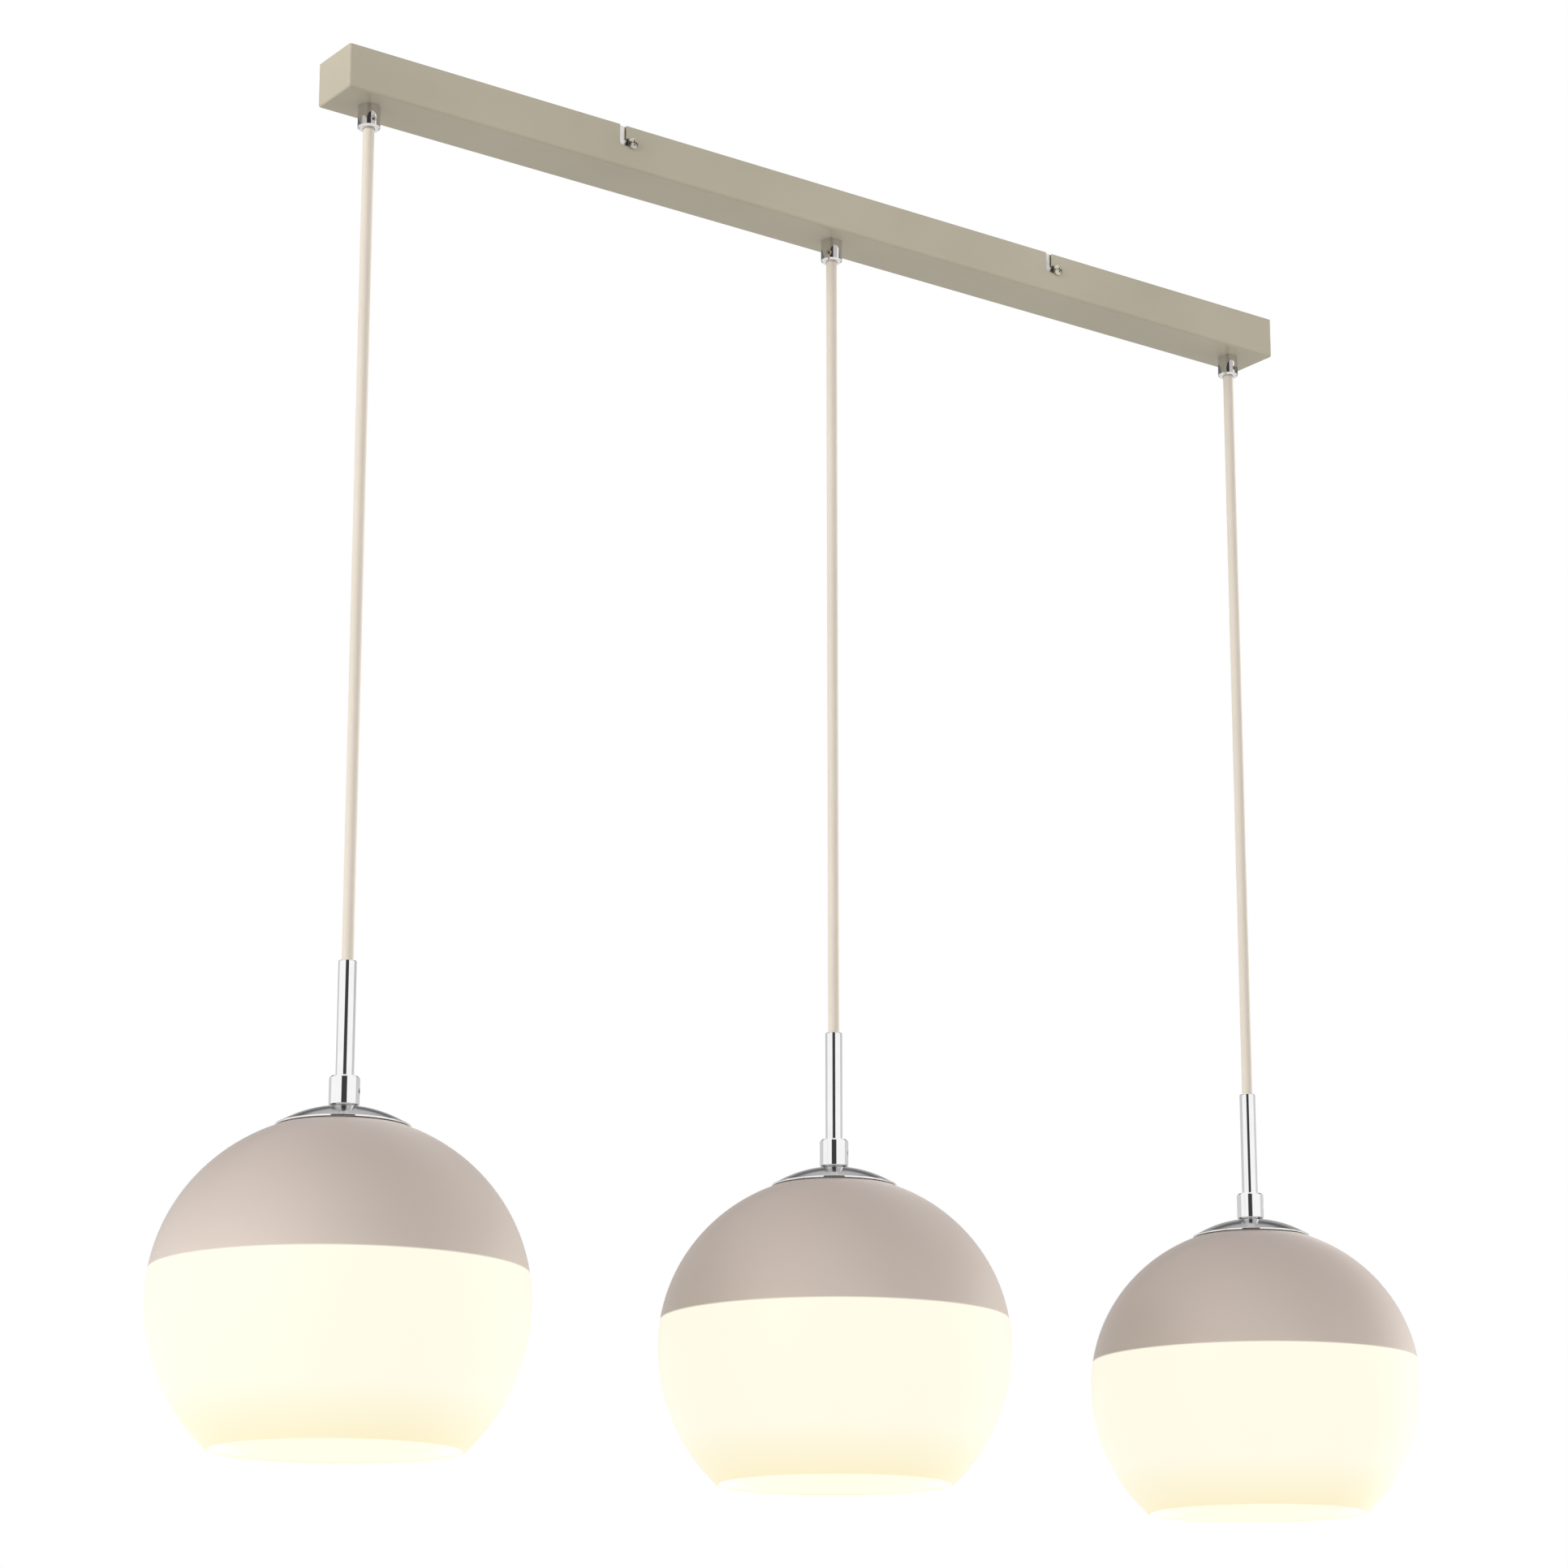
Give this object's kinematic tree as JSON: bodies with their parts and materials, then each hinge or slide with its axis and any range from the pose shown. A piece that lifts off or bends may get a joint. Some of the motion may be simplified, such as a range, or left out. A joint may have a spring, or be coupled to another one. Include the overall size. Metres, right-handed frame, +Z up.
{
  "type": "linear island pendant",
  "caption": "Ceiling bar with textile cords that carry two-tone glass globes open at the bottom, each with a chrome stem and cap, lamp holder and bulb.",
  "frame": {"origin": "middle of the bracket's top face, on the ceiling plane, halfway along the bar", "axes": "+X along the bar, +Y across it, +Z up into the ceiling"},
  "size_m": [0.918, 0.218, 0.8414],
  "materials": {
    "bar_paint": "satin grey-beige paint",
    "zinc_steel": "zinc plated",
    "screw_steel": "zinc plated screws",
    "block_plastic": "moulded",
    "brass": "bare brass",
    "earth_insulation": "green and yellow insulation",
    "core_insulation": "cord end with coloured cores",
    "chrome": "polished",
    "cord_textile": "braided textile cord",
    "shade_glass": "opal glass, painted grey-brown above",
    "holder_plastic": "moulded, heat resistant",
    "base_metal": "rolled screw base",
    "bulb_glass": "opal bulb"
  },
  "bodies": {
    "bracket": {"ceiling_bracket": "zinc_steel", "side_screws": "screw_steel", "terminal_block": "block_plastic", "pole_clamps": "brass", "block_fixing": "screw_steel", "earth_wire": "earth_insulation", "earth_screw": "screw_steel"},
    "bar": {"ceiling_bar": "bar_paint", "grip_nuts": "zinc_steel", "cord_grip_1": "chrome", "cord_grip_2": "chrome", "cord_grip_3": "chrome", "lead_1": "core_insulation", "lead_2": "core_insulation", "lead_3": "core_insulation"},
    "grip_screw_1": {"grip_screw_1": "screw_steel"},
    "cord_1": {"cord_1": "cord_textile"},
    "pendant_1": {"cord_tail_1": "cord_textile", "stem_tube_1": "chrome", "stem_collar_1": "chrome", "collar_screw_1": "screw_steel", "cap_dome_1": "chrome", "holder_cap_1": "holder_plastic", "holder_body_1": "holder_plastic", "screw_shell_1": "brass", "centre_contact_1": "brass", "glass_shade_1": "shade_glass"},
    "ring_1": {"shade_ring_1": "holder_plastic"},
    "bulb_1": {"bulb_base_1": "base_metal", "bulb_glass_1": "bulb_glass"},
    "grip_screw_2": {"grip_screw_2": "screw_steel"},
    "cord_2": {"cord_2": "cord_textile"},
    "pendant_2": {"cord_tail_2": "cord_textile", "stem_tube_2": "chrome", "stem_collar_2": "chrome", "collar_screw_2": "screw_steel", "cap_dome_2": "chrome", "holder_cap_2": "holder_plastic", "holder_body_2": "holder_plastic", "screw_shell_2": "brass", "centre_contact_2": "brass", "glass_shade_2": "shade_glass"},
    "ring_2": {"shade_ring_2": "holder_plastic"},
    "bulb_2": {"bulb_base_2": "base_metal", "bulb_glass_2": "bulb_glass"},
    "grip_screw_3": {"grip_screw_3": "screw_steel"},
    "cord_3": {"cord_3": "cord_textile"},
    "pendant_3": {"cord_tail_3": "cord_textile", "stem_tube_3": "chrome", "stem_collar_3": "chrome", "collar_screw_3": "screw_steel", "cap_dome_3": "chrome", "holder_cap_3": "holder_plastic", "holder_body_3": "holder_plastic", "screw_shell_3": "brass", "centre_contact_3": "brass", "glass_shade_3": "shade_glass"},
    "ring_3": {"shade_ring_3": "holder_plastic"},
    "bulb_3": {"bulb_base_3": "base_metal", "bulb_glass_3": "bulb_glass"}
  },
  "joints": [
    {"name": "bar_release", "type": "slide", "parent": "bracket", "child": "bar", "axis": [1, 0, 0], "range_m": [0, 0.007]},
    {"name": "grip_screw_out_1", "type": "slide", "parent": "bar", "child": "grip_screw_1", "axis": [-0.1045, -0.9945, 0], "range_m": [0, 0.0015]},
    {"name": "swing_1", "type": "hinge", "parent": "bar", "child": "cord_1", "pos_m": [-0.35, 0, -0.0425], "axis": [1, 0, 0], "range_deg": [-15, 15]},
    {"name": "height_1", "type": "slide", "parent": "cord_1", "child": "pendant_1", "axis": [0, 0, 1], "range_m": [0, 0.3], "deforming": ["cord_1"]},
    {"name": "ring_off_1", "type": "slide", "parent": "pendant_1", "child": "ring_1", "axis": [0, 0, -1], "range_m": [0, 0.008]},
    {"name": "bulb_out_1", "type": "slide", "parent": "pendant_1", "child": "bulb_1", "axis": [0, 0, -1], "range_m": [0, 0.025]},
    {"name": "grip_screw_out_2", "type": "slide", "parent": "bar", "child": "grip_screw_2", "axis": [-0.7771, -0.6293, 0], "range_m": [0, 0.0015]},
    {"name": "swing_2", "type": "hinge", "parent": "bar", "child": "cord_2", "pos_m": [0, 0, -0.0425], "axis": [1, 0, 0], "range_deg": [-15, 15]},
    {"name": "height_2", "type": "slide", "parent": "cord_2", "child": "pendant_2", "axis": [0, 0, 1], "range_m": [0, 0.3], "deforming": ["cord_2"]},
    {"name": "ring_off_2", "type": "slide", "parent": "pendant_2", "child": "ring_2", "axis": [0, 0, -1], "range_m": [0, 0.008]},
    {"name": "bulb_out_2", "type": "slide", "parent": "pendant_2", "child": "bulb_2", "axis": [0, 0, -1], "range_m": [0, 0.025]},
    {"name": "grip_screw_out_3", "type": "slide", "parent": "bar", "child": "grip_screw_3", "axis": [0.0349, -0.9994, 0], "range_m": [0, 0.0015]},
    {"name": "swing_3", "type": "hinge", "parent": "bar", "child": "cord_3", "pos_m": [0.35, 0, -0.0425], "axis": [1, 0, 0], "range_deg": [-15, 15]},
    {"name": "height_3", "type": "slide", "parent": "cord_3", "child": "pendant_3", "axis": [0, 0, 1], "range_m": [0, 0.3], "deforming": ["cord_3"]},
    {"name": "ring_off_3", "type": "slide", "parent": "pendant_3", "child": "ring_3", "axis": [0, 0, -1], "range_m": [0, 0.008]},
    {"name": "bulb_out_3", "type": "slide", "parent": "pendant_3", "child": "bulb_3", "axis": [0, 0, -1], "range_m": [0, 0.025]}
  ]
}
